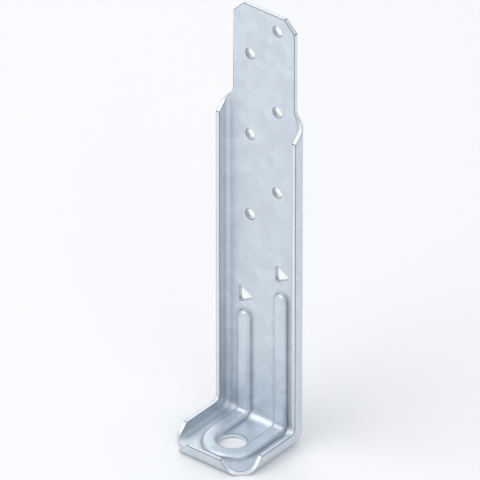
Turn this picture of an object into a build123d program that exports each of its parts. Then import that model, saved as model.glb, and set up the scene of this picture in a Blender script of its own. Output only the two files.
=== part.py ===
from build123d import *
import math
import os

# A deck tension tie folded from one blank of galvanised steel sheet.
# Row frame: the origin is on the axis of the anchor hole at the underside of the seat.
# +X is to the right seen from the front, +Y is towards the timber and +Z is up the plate.
# All lengths are in millimetres.

# Sheet and overall size
sheet = 1.8
half_width = 18.86
height = 181.5
hole_to_back = 19.98
hole_to_lip = 17.14

# Bends, by their inner radius
bend_inner = 1.75
heel_inner = 4.0
bend_outer = bend_inner + sheet
heel_outer = heel_inner + sheet
bend_middle = bend_inner + sheet / 2
quarter_turn = math.pi / 2

# Side flanges and front lip, measured from the back face or the underside
plate_flange = 6.54
seat_flange = 6.35
flange_corner = 2.5
lip_height = 5.9

# Where the faces and the bend axes lie
back_y = hole_to_back
plate_y = back_y - sheet
flange_y = back_y - plate_flange
lip_y = -hole_to_lip
lip_inner_y = lip_y + sheet
heel_y = back_y - heel_outer
heel_z = heel_outer
side_bend_x = half_width - bend_outer
plate_bend_y = back_y - bend_outer
lip_bend_y = lip_y + bend_outer
low_bend_z = bend_outer

# Cuts of the flat blank: the neck's edge stands in from the side bends, the shoulders lie
# below the top edge, and each front corner is cut at 45 degrees from the side to the lip
neck_gap = 0.98
neck_half = side_bend_x - neck_gap
neck_chamfer = 4.76
shoulder_drop = 40.0
shoulder_z = height - shoulder_drop
shoulder_radius = 7.0
corner_gap = 0.85
corner_line = side_bend_x - lip_bend_y - corner_gap

# Stiffening bead: a U round the anchor hole with two legs up the plate
bead_offset = 8.74
bead_height = 1.8
bead_flat = 1.42
bead_crest_radius = 1.65
bead_foot_radius = 0.35
groove_mouth = 1.8
groove_floor = 1.1
groove_floor_radius = 0.4
groove_mouth_radius = 0.7
left_leg_z = 44.7
right_leg_z = 59.0

# Holes
anchor_radius = 5.556
screw_radius = 2.15
screw_x = 6.4
screw_pitch = 35.0
left_screw_drop = 20.7
right_screw_drop = 6.2
screws_per_column = 3
pilot_side = 7.8
pilot_corner = 0.8
left_pilot_x = -11.62
left_pilot_z = 54.25
right_pilot_x = 5.74
right_pilot_z = 69.8

# How far a cut runs past the metal, and how far the bead is rooted in it
clear = 1.5
bend_margin = 0.6
root = 0.6
fine = 0.01

# Shoulder curve in the flat blank: a concave arc from the neck edge into a 45 degree line
shoulder_tangent = shoulder_radius * math.tan(math.pi / 8)
shoulder_arc_x = neck_half + shoulder_radius
shoulder_arc_z = shoulder_z + shoulder_tangent
shoulder_arc_end = neck_half + shoulder_tangent * math.sin(math.pi / 4)
shoulder_steps = 10
corner_steps = 4


def shoulder_height(flat_x):
    """Height of the shoulder's cut at a distance from the centre line, measured in the flat blank."""
    if flat_x < shoulder_arc_end:
        run = shoulder_arc_x - flat_x
        return shoulder_arc_z - math.sqrt(shoulder_radius**2 - run**2)
    return shoulder_z - (flat_x - neck_half)


# Bead's side: the crest's arc turns down into the foot's arc, which runs out on the sheet
bead_turn = math.acos(1 - (bead_height + fine) / (bead_crest_radius + bead_foot_radius))
bead_foot = bead_flat + (bead_crest_radius + bead_foot_radius) * math.sin(bead_turn)


def crest_point(turn):
    """Point on the crest's arc, by how far the bead's surface has turned from level."""
    return (
        bead_flat + bead_crest_radius * math.sin(turn),
        bead_height - bead_crest_radius * (1 - math.cos(turn)),
    )


def foot_point(turn):
    """Point on the foot's arc, by the same turn."""
    return (
        bead_foot - bead_foot_radius * math.sin(turn),
        bead_foot_radius * (1 - math.cos(turn)) - fine,
    )


# Half section across the bead: x from its centre line, y up from the front face of the sheet
with BuildSketch() as bead_half:
    with BuildLine():
        Polyline((bead_foot, -fine), (bead_foot + root, -fine), (bead_foot + root, -root))
        Polyline((bead_foot + root, -root), (0, -root), (0, bead_height), (bead_flat, bead_height))
        ThreePointArc(crest_point(0), crest_point(bead_turn / 2), crest_point(bead_turn))
        ThreePointArc(foot_point(bead_turn), foot_point(bead_turn / 2), foot_point(0))
    make_face()
with BuildSketch() as bead_section:
    add(bead_half.sketch)
    mirror(about=Plane.YZ)

# Half section across the groove behind the bead, in the same axes
with BuildSketch() as groove_half:
    with BuildLine():
        Polyline(
            (0, -sheet - clear),
            (0, bead_height - sheet),
            (groove_floor, bead_height - sheet),
            (groove_mouth, -sheet - fine),
            (groove_mouth + clear, -sheet - fine),
            (groove_mouth + clear, -sheet - clear),
            close=True,
        )
    make_face()
    floor_corner = groove_half.vertices().sort_by_distance((groove_floor, bead_height - sheet, 0))[0]
    fillet(floor_corner, radius=groove_floor_radius)
    mouth_corner = groove_half.vertices().sort_by_distance((groove_mouth, -sheet - fine, 0))[0]
    fillet(mouth_corner, radius=groove_mouth_radius)
with BuildSketch() as groove_section:
    add(groove_half.sketch)
    mirror(about=Plane.YZ)

# Space inside the folds
with BuildPart() as inside:
    with BuildSketch(Plane.YZ) as inside_outline:
        with BuildLine():
            Polyline(
                (lip_inner_y, sheet),
                (plate_y, sheet),
                (plate_y, height + clear),
                (lip_inner_y, height + clear),
                close=True,
            )
        make_face()
        fillet(inside_outline.vertices().sort_by_distance((plate_y, sheet, 0))[0], radius=heel_inner)
    extrude(amount=half_width - sheet, both=True)
    low_front = inside.edges().filter_by(Axis.X).sort_by_distance((0, lip_inner_y, sheet))[0]
    side_edges = inside.edges().filter_by(
        lambda e: abs(e.center().X) > half_width - 2 * sheet
        and (e.center().Y > plate_y - sheet or e.center().Z < 2 * sheet)
        and e.center().Z < height
    )
    fillet(side_edges + [low_front], radius=bend_inner)

# Metal taken off the right half by the cuts of the blank, wrapped round its bends
with BuildPart() as right_trim:
    # Neck edge, top chamfer and the flat start of the shoulder
    with BuildSketch(Plane(origin=(0, back_y, 0), x_dir=(1, 0, 0), z_dir=(0, -1, 0))):
        with BuildLine():
            Line(
                (side_bend_x, shoulder_height(side_bend_x)),
                (side_bend_x, height + clear),
            )
            Line(
                (side_bend_x, height + clear),
                (neck_half - neck_chamfer - clear, height + clear),
            )
            Line(
                (neck_half - neck_chamfer - clear, height + clear),
                (neck_half, height - neck_chamfer),
            )
            Line((neck_half, height - neck_chamfer), (neck_half, shoulder_arc_z))
            RadiusArc(
                (neck_half, shoulder_arc_z),
                (side_bend_x, shoulder_height(side_bend_x)),
                -shoulder_radius,
            )
        make_face()
    extrude(amount=sheet + clear, both=True)
    # Shoulder on the flange
    with BuildSketch(Plane.YZ.offset(half_width)):
        with BuildLine():
            flat_start = side_bend_x + bend_middle * quarter_turn
            flat_end = flat_start + plate_bend_y - flange_y + clear
            Polyline(
                (plate_bend_y, shoulder_height(flat_start)),
                (plate_bend_y, height + clear),
                (flange_y - clear, height + clear),
                (flange_y - clear, shoulder_height(flat_end)),
                close=True,
            )
        make_face()
    extrude(amount=sheet + bend_margin, both=True)
    # Corner of the seat, flat part
    with BuildSketch(Plane.XY):
        with BuildLine():
            Polyline(
                (corner_line + lip_bend_y, lip_bend_y),
                (side_bend_x, side_bend_x - corner_line),
                (side_bend_x, lip_bend_y),
                close=True,
            )
        make_face()
    extrude(amount=sheet + clear, both=True)
    # Corner beyond both bends
    with BuildSketch(Plane.XY):
        with BuildLine():
            Polyline(
                (side_bend_x, lip_bend_y),
                (half_width + clear, lip_bend_y),
                (half_width + clear, lip_y - clear),
                (side_bend_x, lip_y - clear),
                close=True,
            )
        make_face()
    extrude(amount=seat_flange + clear, both=True)
    # Corner of the side flange
    with BuildSketch(Plane.YZ.offset(half_width)):
        with BuildLine():
            flange_cut_y = side_bend_x + bend_middle * quarter_turn - corner_line
            Polyline(
                (flange_cut_y, low_bend_z),
                (flange_cut_y + seat_flange + clear - low_bend_z, seat_flange + clear),
                (lip_y - clear, seat_flange + clear),
                (lip_y - clear, low_bend_z),
                close=True,
            )
        make_face()
    extrude(amount=sheet + bend_margin, both=True)
    # Corner of the lip
    with BuildSketch(Plane.XZ.offset(hole_to_lip)):
        with BuildLine():
            lip_cut_x = corner_line + lip_bend_y - bend_middle * quarter_turn
            Polyline(
                (lip_cut_x, low_bend_z),
                (lip_cut_x + low_bend_z - seat_flange - clear, seat_flange + clear),
                (half_width + clear, seat_flange + clear),
                (half_width + clear, low_bend_z),
                close=True,
            )
        make_face()
    extrude(amount=sheet + bend_margin, both=True)

# The same cuts in the bends: each is lofted through radial sections of the bend
with BuildPart() as shoulder_bend:
    for step in range(shoulder_steps + 1):
        turn = quarter_turn * step / shoulder_steps
        cut_z = shoulder_height(side_bend_x + bend_middle * turn)
        with BuildSketch(
            Plane(
                origin=(side_bend_x, plate_bend_y, 0),
                x_dir=(math.sin(turn), math.cos(turn), 0),
                z_dir=(math.cos(turn), -math.sin(turn), 0),
            )
        ):
            with BuildLine():
                Polyline(
                    (bend_inner - bend_margin, cut_z),
                    (bend_outer + bend_margin, cut_z),
                    (bend_outer + bend_margin, height + clear),
                    (bend_inner - bend_margin, height + clear),
                    close=True,
                )
            make_face()
    loft()
with BuildPart() as side_corner_bend:
    for step in range(corner_steps + 1):
        turn = quarter_turn * step / corner_steps
        cut_y = side_bend_x + bend_middle * turn - corner_line
        with BuildSketch(
            Plane(
                origin=(side_bend_x, 0, low_bend_z),
                x_dir=(math.sin(turn), 0, -math.cos(turn)),
                z_dir=(math.cos(turn), 0, math.sin(turn)),
            )
        ):
            with BuildLine():
                Polyline(
                    (bend_inner - bend_margin, cut_y),
                    (bend_outer + bend_margin, cut_y),
                    (bend_outer + bend_margin, lip_y - clear),
                    (bend_inner - bend_margin, lip_y - clear),
                    close=True,
                )
            make_face()
    loft()
with BuildPart() as lip_corner_bend:
    for step in range(corner_steps + 1):
        turn = quarter_turn * step / corner_steps
        cut_x = corner_line + lip_bend_y - bend_middle * turn
        with BuildSketch(
            Plane(
                origin=(0, lip_bend_y, low_bend_z),
                x_dir=(0, -math.sin(turn), -math.cos(turn)),
                z_dir=(0, -math.cos(turn), math.sin(turn)),
            )
        ):
            with BuildLine():
                Polyline(
                    (bend_inner - bend_margin, cut_x),
                    (bend_outer + bend_margin, cut_x),
                    (bend_outer + bend_margin, half_width + clear),
                    (bend_inner - bend_margin, half_width + clear),
                    close=True,
                )
            make_face()
    loft()

with BuildPart() as tie_body:
    # Envelope of the folds, seen from the side
    with BuildSketch(Plane.YZ) as side_outline:
        with BuildLine():
            Polyline(
                (lip_y, 0),
                (back_y, 0),
                (back_y, height),
                (flange_y, height),
                (flange_y, seat_flange),
                (lip_y, seat_flange),
                close=True,
            )
        make_face()
        fillet(side_outline.vertices().sort_by_distance((back_y, 0, 0))[0], radius=heel_outer)
        fillet(
            side_outline.vertices().sort_by_distance((flange_y, seat_flange, 0))[0],
            radius=flange_corner,
        )
    extrude(amount=half_width, both=True)
    outer_front = tie_body.edges().filter_by(Axis.X).sort_by_distance((0, lip_y, 0))[0]
    outer_sides = tie_body.edges().filter_by(
        lambda e: abs(e.center().X) > half_width - fine
        and (e.center().Y > back_y - sheet or e.center().Z < sheet)
    )
    fillet(outer_sides + [outer_front], radius=bend_outer)
    add(inside.part, mode=Mode.SUBTRACT)
    # Top edge of the lip
    with BuildSketch(Plane.XY.offset(lip_height)):
        with Locations((0, lip_y)):
            Rectangle(2 * (half_width + clear), 2 * (sheet + bend_margin))
    extrude(amount=seat_flange, mode=Mode.SUBTRACT)
    # Cuts of the blank, on both sides
    for trim in (right_trim, shoulder_bend, side_corner_bend, lip_corner_bend):
        add(trim.part, mode=Mode.SUBTRACT)
        add(mirror(trim.part, about=Plane.YZ, mode=Mode.PRIVATE), mode=Mode.SUBTRACT)
    # Bead and the groove behind it
    for section, half, how in (
        (bead_section, bead_half, Mode.ADD),
        (groove_section, groove_half, Mode.SUBTRACT),
    ):
        for side, leg_z in ((-1, left_leg_z), (1, right_leg_z)):
            bead_x = side * bead_offset
            down = Plane(origin=(bead_x, plate_y, leg_z), x_dir=(1, 0, 0), z_dir=(0, 0, -1))
            with BuildSketch(down):
                add(section.sketch)
            extrude(amount=leg_z - heel_z, mode=how)
            with BuildSketch(down):
                add(half.sketch)
            revolve(axis=Axis((bead_x, plate_y, leg_z), (0, -1, 0)), revolution_arc=180, mode=how)
            with BuildSketch(Plane(origin=(bead_x, plate_y, heel_z), x_dir=(1, 0, 0), z_dir=(0, 0, -1))):
                add(section.sketch)
            revolve(axis=Axis((bead_x, heel_y, heel_z), (-1, 0, 0)), revolution_arc=90, mode=how)
            with BuildSketch(Plane(origin=(bead_x, heel_y, sheet), x_dir=(1, 0, 0), z_dir=(0, -1, 0))):
                add(section.sketch)
            extrude(amount=heel_y, mode=how)
        with BuildSketch(Plane(origin=(bead_offset, 0, sheet), x_dir=(1, 0, 0), z_dir=(0, -1, 0))):
            add(section.sketch)
        revolve(axis=Axis((0, 0, 0), (0, 0, -1)), revolution_arc=180, mode=how)
    # Anchor hole
    with BuildSketch(Plane.XY):
        Circle(anchor_radius)
    extrude(amount=sheet + clear, both=True, mode=Mode.SUBTRACT)
    # Screw holes in two staggered columns, and the triangular pilot holes
    with BuildSketch(Plane(origin=(0, plate_y, 0), x_dir=(1, 0, 0), z_dir=(0, -1, 0))):
        for side, drop in ((-1, left_screw_drop), (1, right_screw_drop)):
            with Locations((side * screw_x, height - drop - screw_pitch)):
                with GridLocations(0, screw_pitch, 1, screws_per_column):
                    Circle(screw_radius)
    extrude(amount=sheet + clear, both=True, mode=Mode.SUBTRACT)
    with BuildSketch(Plane(origin=(0, plate_y, 0), x_dir=(1, 0, 0), z_dir=(0, -1, 0))) as pilots:
        for pilot_x, pilot_z in ((left_pilot_x, left_pilot_z), (right_pilot_x, right_pilot_z)):
            with BuildLine():
                Polyline(
                    (pilot_x, pilot_z - pilot_side / 2),
                    (pilot_x + pilot_side * math.cos(math.pi / 6), pilot_z),
                    (pilot_x, pilot_z + pilot_side / 2),
                    close=True,
                )
            make_face()
        fillet(pilots.vertices(), radius=pilot_corner)
    extrude(amount=sheet + clear, both=True, mode=Mode.SUBTRACT)

tie_body.part.label = "tie_body"
os.makedirs("parts", exist_ok=True)
export_step(tie_body.part, "parts/tie_body.step")
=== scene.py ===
import math

import bmesh
import bpy
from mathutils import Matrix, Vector


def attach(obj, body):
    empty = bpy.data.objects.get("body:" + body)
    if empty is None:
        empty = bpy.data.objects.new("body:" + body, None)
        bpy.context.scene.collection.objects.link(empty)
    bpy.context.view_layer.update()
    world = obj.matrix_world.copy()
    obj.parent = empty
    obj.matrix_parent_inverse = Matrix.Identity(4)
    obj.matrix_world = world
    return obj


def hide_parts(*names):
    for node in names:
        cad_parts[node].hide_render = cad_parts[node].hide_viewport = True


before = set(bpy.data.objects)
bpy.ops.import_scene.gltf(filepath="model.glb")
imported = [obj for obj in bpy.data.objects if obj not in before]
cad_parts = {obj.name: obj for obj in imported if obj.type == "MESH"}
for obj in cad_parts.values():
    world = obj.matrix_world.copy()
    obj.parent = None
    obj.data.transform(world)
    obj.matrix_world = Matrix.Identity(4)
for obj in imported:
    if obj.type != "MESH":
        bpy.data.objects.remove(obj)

# A galvanised deck tension tie: one folded sheet with its zinc finish, on a pale studio floor.
# Lengths are in metres, angles in degrees, and every tint is linear colour.

scene = bpy.context.scene
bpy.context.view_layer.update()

# Camera: a long lens, for a nearly parallel view that is SHOWN wide where it aims
AZIMUTH = 39.04
ELEVATION = 33.1
AIM = Vector((0.0, 0.00434, 0.08907))
SHOWN = 0.17647
LENS = 1000.0
SENSOR = 36.0
CLIP_START = 0.1
CLIP_END = 50.0

# Facets of the CAD mesh: vertices within MERGE are one, facets within FLAT_ANGLE are joined, and
# so are two triangles that bend by less than QUAD_BEND and are as square as QUAD_SHAPE asks
MERGE = 1e-7
FLAT_ANGLE = 0.05
QUAD_BEND = 20.0
QUAD_SHAPE = 120.0

# Surfaces: they are parted by edges sharper than SOFT_ANGLE. The broad ones are the sheet's two
# faces, and each other one with more area than SMALLEST_CUT is a cut
SOFT_ANGLE = 32.0
BROAD_SURFACES = 2
SMALLEST_CUT = 2e-6

# Broken edges of the cuts: their width, and the share of a narrow facet that they may take
EDGE_BREAK = 0.00016
EDGE_SHARE = 0.6
EDGE_SEGMENTS = 2
SHADING_WEIGHT = 70

# Painted shade where the metal turns in on itself: how near, in folds and in holes, and its tone
PAINTED_SHADE_REACH = 0.0018
HOLE_PAINTED_SHADE_REACH = 0.004
PAINTED_SHADE_TONE = 0.05
PAINTED_SHADE_SAMPLES = 8

# Zinc of the faces, the cuts and the broken edges: tint, lowest and highest roughness, how clear
# its crystals are, and how near metal has to be to darken it with painted shade
FINISHES = {
    "zinc_sheet": ((0.66, 0.72, 0.78), (0.36, 0.52), 1.0, PAINTED_SHADE_REACH),
    "zinc_cut_edge": ((0.78, 0.82, 0.86), (0.5, 0.66), 0.4, HOLE_PAINTED_SHADE_REACH),
    # The broken edges are near black: painted shade along them, drawn as a dark burr line
    "zinc_burr_painted_shade": ((0.08, 0.088, 0.096), (0.45, 0.6), 0.2, PAINTED_SHADE_REACH),
}
METAL = 0.85

# Crystals about 4 mm across, whose edges wander
CRYSTAL_SCALE = 240.0
WANDER_SCALE = 260.0
WANDER_DETAIL = 2.0
WANDER = 0.0016

# Fine grain, and broad clouding that is drawn out up the plate
GRAIN_SCALE = 2600.0
GRAIN_DETAIL = 4.0
GRAIN_ROUGHNESS = 0.6
CLOUD_SCALE = 90.0
CLOUD_DETAIL = 3.0
CLOUD_STRETCH = (1.0, 1.0, 0.25)

# How far each lightens and darkens the tint
CRYSTAL_TONE = 0.045
CLOUD_TONE = 0.05
GRAIN_TONE = 0.05

# Shares in the roughness and in the relief, and how strong and deep the relief is
CRYSTAL_SCATTER = 0.6
CLOUD_SCATTER = 0.4
GRAIN_RELIEF = 0.35
CRYSTAL_RELIEF = 0.65
RELIEF_STRENGTH = 0.22
RELIEF_DEPTH = 0.00006

# Floor, just under the tie
STAGE_SIZE = 6.0
STAGE_DROP = 0.00002
FLOOR_ALBEDO = (0.93, 0.93, 0.93)
FLOOR_ROUGHNESS = 0.9

# Dome: a soft sky, and how far up it is at its brightest
HORIZON = (0.46, 0.47, 0.49)
ZENITH = (0.78, 0.795, 0.82)
DOME_TOP = 0.9

# Lamps: place, size and power, all aimed at the middle of the tie
LAMP_AIM = (0.0, 0.005, 0.09)
LAMPS = {
    "key": ((-0.55, -0.75, 1.05), 1.3, 6.6),
    "fill": ((1.1, -0.35, 0.55), 0.9, 2.6),
    "rim": ((-0.75, 0.95, 0.8), 1.1, 3.0),
}


def link(tree, a, out, b, into):
    tree.links.new(a.outputs[out], b.inputs[into])


def add(tree, kind, inputs=None, **settings):
    """A shader node with its settings and the values of its unlinked inputs."""
    made = tree.nodes.new(kind)
    for key, value in settings.items():
        setattr(made, key, value)
    for key, value in (inputs or {}).items():
        made.inputs[key].default_value = value
    return made


def mapped(tree, source, out, low, high):
    """A value from 0 to 1, spread from low to high."""
    node = add(tree, "ShaderNodeMapRange", {"To Min": low, "To Max": high})
    link(tree, source, out, node, "Value")
    return node, "Result"


def product(tree, *factors):
    """Product of the factors, each a node and the name of its output."""
    node, out = factors[0]
    for factor in factors[1:]:
        times = add(tree, "ShaderNodeMath", operation="MULTIPLY")
        link(tree, node, out, times, 0)
        link(tree, *factor, times, 1)
        node, out = times, "Value"
    return node, out


def weighted(tree, first, second):
    """Sum of two values, each a node, the name of its output and its share."""
    *a, a_share = first
    *b, b_share = second
    part = add(tree, "ShaderNodeMath", {1: b_share}, operation="MULTIPLY")
    link(tree, *b, part, 0)
    total = add(tree, "ShaderNodeMath", {1: a_share}, operation="MULTIPLY_ADD")
    link(tree, *a, total, 0)
    link(tree, part, "Value", total, 2)
    return total, "Value"


def zinc(name, tint, rough, spangle, reach):
    """Hot-dip zinc: crystals, clouding and fine grain, with painted shade darkening its creases.
    """
    mat = bpy.data.materials.new(name)
    mat.use_nodes = True
    tree = mat.node_tree
    tree.nodes.clear()
    out = add(tree, "ShaderNodeOutputMaterial")
    shader = add(tree, "ShaderNodeBsdfPrincipled", {"Metallic": METAL})
    link(tree, shader, "BSDF", out, "Surface")
    coords = add(tree, "ShaderNodeTexCoord")

    # Crystals, each with a brightness and a scatter of its own
    warp = add(tree, "ShaderNodeTexNoise", {"Scale": WANDER_SCALE, "Detail": WANDER_DETAIL})
    link(tree, coords, "Object", warp, "Vector")
    wander = (WANDER, WANDER, WANDER)
    bend = add(tree, "ShaderNodeVectorMath", {1: wander}, operation="MULTIPLY_ADD")
    link(tree, warp, "Color", bend, 0)
    link(tree, coords, "Object", bend, 2)
    cells = add(tree, "ShaderNodeTexVoronoi", {"Scale": CRYSTAL_SCALE})
    link(tree, bend, "Vector", cells, "Vector")
    crystal = add(tree, "ShaderNodeSeparateColor")
    link(tree, cells, "Color", crystal, "Color")

    # Grain and clouding
    grain = add(
        tree,
        "ShaderNodeTexNoise",
        {"Scale": GRAIN_SCALE, "Detail": GRAIN_DETAIL, "Roughness": GRAIN_ROUGHNESS},
    )
    link(tree, coords, "Object", grain, "Vector")
    stretch = add(tree, "ShaderNodeMapping", {"Scale": CLOUD_STRETCH})
    link(tree, coords, "Object", stretch, "Vector")
    cloud = add(tree, "ShaderNodeTexNoise", {"Scale": CLOUD_SCALE, "Detail": CLOUD_DETAIL})
    link(tree, stretch, "Vector", cloud, "Vector")

    # Colour: the tint, varied by all three and darkened in creases by painted shade
    # Ambient occlusion darkens the base colour in folds and holes: this is painted shade
    crease_painted_shade = add(
        tree,
        "ShaderNodeAmbientOcclusion",
        {"Distance": reach},
        samples=PAINTED_SHADE_SAMPLES,
        only_local=True,
    )
    crystal_tone = CRYSTAL_TONE * spangle
    tone = product(
        tree,
        mapped(tree, crystal, "Red", 1.0 - crystal_tone, 1.0 + crystal_tone),
        mapped(tree, cloud, "Fac", 1.0 - CLOUD_TONE, 1.0 + CLOUD_TONE),
        mapped(tree, grain, "Fac", 1.0 - GRAIN_TONE, 1.0 + GRAIN_TONE),
        mapped(tree, crease_painted_shade, "AO", PAINTED_SHADE_TONE, 1.0),
    )
    colour = add(tree, "ShaderNodeVectorMath", {0: tint}, operation="SCALE")
    link(tree, *tone, colour, "Scale")
    link(tree, colour, "Vector", shader, "Base Color")

    scatter = weighted(
        tree,
        (crystal, "Green", CRYSTAL_SCATTER * spangle),
        (cloud, "Fac", CLOUD_SCATTER),
    )
    link(tree, *mapped(tree, *scatter, *rough), shader, "Roughness")

    relief = weighted(
        tree,
        (grain, "Fac", GRAIN_RELIEF),
        (cells, "Distance", CRYSTAL_RELIEF * spangle),
    )
    bump = add(tree, "ShaderNodeBump", {"Strength": RELIEF_STRENGTH, "Distance": RELIEF_DEPTH})
    link(tree, *relief, bump, "Height")
    link(tree, bump, "Normal", shader, "Normal")
    return mat


def floor_material(name):
    """Plain pale floor: a diffuse surface that keeps the tie's shadow."""
    mat = bpy.data.materials.new(name)
    mat.use_nodes = True
    shader = mat.node_tree.nodes["Principled BSDF"]
    shader.inputs["Base Color"].default_value = (*FLOOR_ALBEDO, 1.0)
    shader.inputs["Roughness"].default_value = FLOOR_ROUGHNESS
    shader.inputs["Specular IOR Level"].default_value = 0.0
    return mat


def join_facets(mesh):
    """Joins the flat facets of a CAD mesh, and pairs those of its bends into quads."""
    bmesh.ops.remove_doubles(mesh, verts=mesh.verts, dist=MERGE)
    bmesh.ops.dissolve_limit(
        mesh,
        angle_limit=math.radians(FLAT_ANGLE),
        verts=mesh.verts,
        edges=mesh.edges,
    )
    bmesh.ops.join_triangles(
        mesh,
        faces=mesh.faces,
        angle_face_threshold=math.radians(QUAD_BEND),
        angle_shape_threshold=math.radians(QUAD_SHAPE),
    )


def total_area(faces):
    return sum(f.calc_area() for f in faces)


def surfaces(mesh, soft):
    """Splits a mesh's faces where an edge is sharper than soft, largest surface first."""
    left = set(mesh.faces)
    found = []
    while left:
        front = [left.pop()]
        group = set(front)
        while front:
            for edge in front.pop().edges:
                if edge.calc_face_angle(0.0) < soft:
                    near = [f for f in edge.link_faces if f in left]
                    left.difference_update(near)
                    group.update(near)
                    front.extend(near)
        found.append(group)
    return sorted(found, key=total_area, reverse=True)


def facet_room(facet):
    """How wide an edge can be broken beside a facet."""
    return EDGE_SHARE * facet.calc_area() / max(e.calc_length() for e in facet.edges)


def broken_edges(node, name, materials):
    """A copy of a CAD solid in which the edges of its cuts are broken.

    The materials are those of the sheet's faces, of the cuts and of the broken edges.
    """
    mesh = bmesh.new()
    mesh.from_mesh(node.data)
    join_facets(mesh)
    others = surfaces(mesh, math.radians(SOFT_ANGLE))[BROAD_SURFACES:]
    cut = {f: n for n, g in enumerate(others) if total_area(g) > SMALLEST_CUT for f in g}
    weight = mesh.edges.layers.float.new("bevel_weight_edge")
    for face in mesh.faces:
        face.smooth = True
        face.material_index = 1 if face in cut else 0

    # Each rim parts two surfaces, and is broken less where a facet at its ends is narrow
    rims = {e for e in mesh.edges if len({cut.get(f, -1) for f in e.link_faces}) > 1}
    corners = {v for rim in rims for v in rim.verts}
    room = {v: min(facet_room(f) for f in v.link_faces) for v in corners}
    for rim in rims:
        rim[weight] = min(1.0, *(room[v] / EDGE_BREAK for v in rim.verts))

    data = bpy.data.meshes.new(name)
    mesh.to_mesh(data)
    mesh.free()
    piece = bpy.data.objects.new(name, data)
    scene.collection.objects.link(piece)
    for mat in materials:
        data.materials.append(mat)
    bevel = piece.modifiers.new("broken_edges", "BEVEL")
    bevel.limit_method = "WEIGHT"
    bevel.width = EDGE_BREAK
    bevel.segments = EDGE_SEGMENTS
    bevel.use_clamp_overlap = False
    bevel.harden_normals = False
    # The broken edges take the last material, the near-black burr that paints shade along them
    bevel.material = len(materials) - 1
    even = piece.modifiers.new("even_shading", "WEIGHTED_NORMAL")
    even.mode = "FACE_AREA_WITH_ANGLE"
    even.keep_sharp = True
    even.weight = SHADING_WEIGHT
    return piece


def dome(name):
    """A soft sky, brighter overhead than at the horizon."""
    world = bpy.data.worlds.new(name)
    world.use_nodes = True
    tree = world.node_tree
    tree.nodes.clear()
    out = add(tree, "ShaderNodeOutputWorld")
    sky = add(tree, "ShaderNodeBackground")
    place = add(tree, "ShaderNodeTexCoord")
    parts = add(tree, "ShaderNodeSeparateXYZ")
    link(tree, place, "Generated", parts, "Vector")
    ramp = add(tree, "ShaderNodeValToRGB")
    ramp.color_ramp.interpolation = "EASE"
    horizon, zenith = ramp.color_ramp.elements
    horizon.position = 0.0
    horizon.color = (*HORIZON, 1.0)
    zenith.position = DOME_TOP
    zenith.color = (*ZENITH, 1.0)
    link(tree, parts, "Z", ramp, "Fac")
    link(tree, ramp, "Color", sky, "Color")
    link(tree, sky, "Background", out, "Surface")
    return world


def aim(thing, towards):
    """Turns a lamp or a camera to look along a direction."""
    thing.rotation_mode = "QUATERNION"
    thing.rotation_quaternion = towards.to_track_quat("-Z", "Y")


def add_lamp(name, place, size, power):
    """A soft square lamp aimed at the tie."""
    data = bpy.data.lights.new(name, "AREA")
    data.shape = "SQUARE"
    data.size = size
    data.energy = power
    lamp = bpy.data.objects.new(name, data)
    scene.collection.objects.link(lamp)
    lamp.location = place
    aim(lamp, Vector(LAMP_AIM) - Vector(place))


def add_camera(name):
    """The camera, as far back as its lens needs to be SHOWN wide at AIM."""
    turn, lift = math.radians(AZIMUTH), math.radians(ELEVATION)
    level = math.cos(lift)
    back = Vector((math.sin(turn) * level, -math.cos(turn) * level, math.sin(lift)))
    data = bpy.data.cameras.new(name)
    data.lens = LENS
    data.sensor_width = SENSOR
    data.clip_start = CLIP_START
    data.clip_end = CLIP_END
    camera = bpy.data.objects.new(name, data)
    scene.collection.objects.link(camera)
    camera.location = AIM + back * (SHOWN * LENS / SENSOR)
    aim(camera, -back)
    return camera


# The folded sheet
zincs = [zinc(name, *look) for name, look in FINISHES.items()]
sheet = broken_edges(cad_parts["tie_body"], "folded_sheet", zincs)
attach(sheet, "root")
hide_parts("tie_body")

# Floor
bpy.ops.mesh.primitive_plane_add(size=STAGE_SIZE, location=(0, 0, -STAGE_DROP))
floor = bpy.context.object
floor.name = "floor"
floor.data.materials.append(floor_material("floor_paper"))

# Light and camera
scene.world = dome("studio")
for lamp_name, setup in LAMPS.items():
    add_lamp(lamp_name, *setup)
scene.camera = add_camera("camera")
scene.view_settings.view_transform = "Standard"
